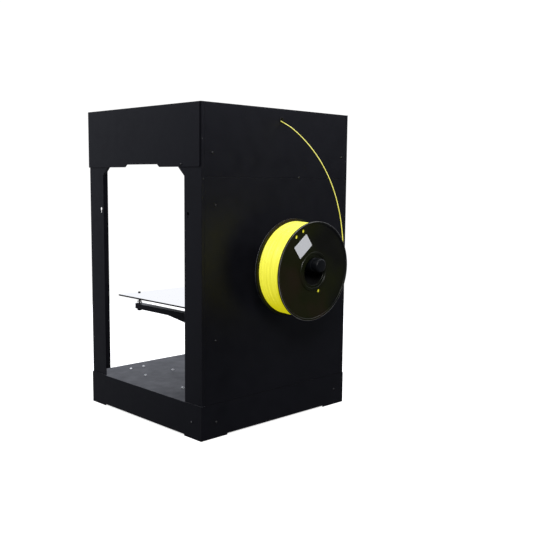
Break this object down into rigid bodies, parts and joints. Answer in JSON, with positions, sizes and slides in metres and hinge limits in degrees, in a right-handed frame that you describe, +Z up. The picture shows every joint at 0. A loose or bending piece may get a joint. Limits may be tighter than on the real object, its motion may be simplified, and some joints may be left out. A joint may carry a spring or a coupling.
{
  "type": "fdm printer",
  "caption": "Enclosed fused-filament 3-D printer in black sheet steel with side windows, cantilever build platform and a filament spool on the rear panel.",
  "frame": {"origin": "on the floor under the middle of the printer's bounding box, spool and knob included", "axes": "+Z up; the printer's front with its display faces -Y and the spool hangs on the +Y side; +X is to the right when seen from the front"},
  "size_m": [0.428, 0.5526, 0.664],
  "materials": {
    "powder_coat": "fine-textured satin black powder coat",
    "inner_steel": "satin black powder coat",
    "smoked_plastic": "glossy smoked dark plastic",
    "spool_core": "satin moulded black plastic",
    "filament": "fluorescent yellow filament",
    "shaft_black": "semi-gloss black plastic",
    "steel_rod": "ground steel",
    "motor_black": "black laminated motor body",
    "aluminium": "machined aluminium",
    "bed_surface": "smooth reflective plate",
    "brass": "machined brass",
    "belt_rubber": "toothed rubber belt",
    "circuit_board": "green solder mask",
    "display_glass": "glossy dark display window",
    "dark_plastic": "moulded black plastic"
  },
  "bodies": {
    "cabinet": {"base_tray": "powder_coat", "base_plate": "inner_steel", "side_frame_right": "powder_coat", "side_frame_left": "powder_coat", "rear_panel_lower": "powder_coat", "rear_panel_upper": "powder_coat", "hood": "powder_coat", "spool_bracket": "powder_coat", "filament_guide": "dark_plastic", "filament_strand": "filament", "spool_shaft": "shaft_black", "z_rod_right": "steel_rod", "z_rod_left": "steel_rod", "z_bracket": "inner_steel", "z_motor": "motor_black", "gantry_rail_rear": "inner_steel", "gantry_rail_front": "inner_steel", "y_rod_right": "steel_rod", "y_rod_left": "steel_rod", "y_belt_right": "belt_rubber", "y_belt_left": "belt_rubber", "y_motor": "motor_black", "power_supply": "aluminium", "control_board": "circuit_board", "display_module": "display_glass", "power_inlet": "dark_plastic"},
    "spool": {"spool_flange_outer": "smoked_plastic", "spool_flange_inner": "smoked_plastic", "spool_hub": "spool_core", "filament_winding": "filament"},
    "platform": {"z_carriage": "aluminium", "bed_arm_right": "inner_steel", "bed_arm_left": "inner_steel", "bed_plate": "bed_surface", "bed_heater": "dark_plastic"},
    "lift_screw": {"z_screw": "steel_rod"},
    "level_front_right": {"level_screw_front_right": "steel_rod"},
    "level_front_left": {"level_screw_front_left": "steel_rod"},
    "level_rear_right": {"level_screw_rear_right": "steel_rod"},
    "level_rear_left": {"level_screw_rear_left": "steel_rod"},
    "gantry": {"y_slider_right": "aluminium", "y_slider_left": "aluminium", "x_rod_front": "steel_rod", "x_rod_rear": "steel_rod", "x_belt": "belt_rubber", "x_motor": "motor_black"},
    "y_drive": {"y_shaft": "steel_rod"},
    "y_idler_wheel_right": {"y_idler_right": "aluminium"},
    "y_idler_wheel_left": {"y_idler_left": "aluminium"},
    "x_drive": {"x_pulley": "aluminium"},
    "x_idler_wheel": {"x_idler": "aluminium"},
    "head": {"head_carriage": "dark_plastic", "extruder_motor": "motor_black", "heat_sink": "aluminium", "heater_block": "aluminium", "nozzle": "brass"},
    "feed_gear": {"drive_gear": "steel_rod"},
    "idler": {"idler_lever": "dark_plastic"},
    "knob": {"control_knob": "dark_plastic"},
    "switch": {"power_switch": "dark_plastic"}
  },
  "joints": [
    {"name": "spool_spin", "type": "hinge", "parent": "cabinet", "child": "spool", "pos_m": [0.0214, 0.25625, 0.337], "axis": [0, 0.9986, -0.0523], "continuous": true},
    {"name": "bed_lift", "type": "slide", "parent": "cabinet", "child": "platform", "axis": [0, 0, 1], "range_m": [-0.09, 0.29]},
    {"name": "lift_screw_spin", "type": "hinge", "parent": "cabinet", "child": "lift_screw", "pos_m": [0, 0.08695, 0.3], "axis": [0, 0, 1], "range_deg": [-4080, 13080]},
    {"name": "gantry_slide", "type": "slide", "parent": "cabinet", "child": "gantry", "axis": [0, 1, 0], "range_m": [-0.145, 0.05]},
    {"name": "y_shaft_spin", "type": "hinge", "parent": "cabinet", "child": "y_drive", "pos_m": [0, 0.10195, 0.612], "axis": [1, 0, 0], "range_deg": [-948, 347]},
    {"name": "y_idler_right_spin", "type": "hinge", "parent": "cabinet", "child": "y_idler_wheel_right", "pos_m": [0.2022, -0.23505, 0.612], "axis": [1, 0, 0], "range_deg": [-948, 347]},
    {"name": "y_idler_left_spin", "type": "hinge", "parent": "cabinet", "child": "y_idler_wheel_left", "pos_m": [-0.2022, -0.23505, 0.612], "axis": [1, 0, 0], "range_deg": [-948, 347]},
    {"name": "head_slide", "type": "slide", "parent": "gantry", "child": "head", "axis": [1, 0, 0], "range_m": [-0.115, 0.115]},
    {"name": "x_pulley_spin", "type": "hinge", "parent": "gantry", "child": "x_drive", "pos_m": [0.158, -0.00305, 0.623], "axis": [0, 1, 0], "range_deg": [-759, 759]},
    {"name": "x_idler_spin", "type": "hinge", "parent": "gantry", "child": "x_idler_wheel", "pos_m": [-0.158, -0.00305, 0.623], "axis": [0, 1, 0], "range_deg": [-759, 759]},
    {"name": "feed_gear_spin", "type": "hinge", "parent": "head", "child": "feed_gear", "pos_m": [0, -0.05005, 0.6333], "axis": [1, 0, 0], "continuous": true},
    {"name": "idler_release", "type": "hinge", "parent": "head", "child": "idler", "pos_m": [0, -0.03005, 0.616], "axis": [-1, 0, 0], "range_deg": [0, 14], "stiffness_Nm_per_rad": 0.4},
    {"name": "knob_turn", "type": "hinge", "parent": "cabinet", "child": "knob", "pos_m": [0.062, -0.26805, 0.037], "axis": [0, -1, 0], "continuous": true},
    {"name": "switch_rock", "type": "hinge", "parent": "cabinet", "child": "switch", "pos_m": [-0.2054, 0.10395, 0.034], "axis": [0, 0, 1], "range_deg": [0, 14]},
    {"name": "level_front_right_turn", "type": "hinge", "parent": "platform", "child": "level_front_right", "pos_m": [0.103, -0.23105, 0.23], "axis": [0, 0, 1], "range_deg": [-720, 720]},
    {"name": "level_front_left_turn", "type": "hinge", "parent": "platform", "child": "level_front_left", "pos_m": [-0.103, -0.23105, 0.23], "axis": [0, 0, 1], "range_deg": [-720, 720]},
    {"name": "level_rear_right_turn", "type": "hinge", "parent": "platform", "child": "level_rear_right", "pos_m": [0.103, -0.00305, 0.23], "axis": [0, 0, 1], "range_deg": [-720, 720]},
    {"name": "level_rear_left_turn", "type": "hinge", "parent": "platform", "child": "level_rear_left", "pos_m": [-0.103, -0.00305, 0.23], "axis": [0, 0, 1], "range_deg": [-720, 720]}
  ],
  "couplings": [
    {"joint": "lift_screw_spin", "follows": "bed_lift", "rad_per_m": 785.4},
    {"joint": "y_shaft_spin", "follows": "gantry_slide", "rad_per_m": 110.5},
    {"joint": "y_idler_right_spin", "follows": "gantry_slide", "rad_per_m": 110.5},
    {"joint": "y_idler_left_spin", "follows": "gantry_slide", "rad_per_m": 110.5},
    {"joint": "x_pulley_spin", "follows": "head_slide", "rad_per_m": -110.5},
    {"joint": "x_idler_spin", "follows": "head_slide", "rad_per_m": -110.5}
  ]
}
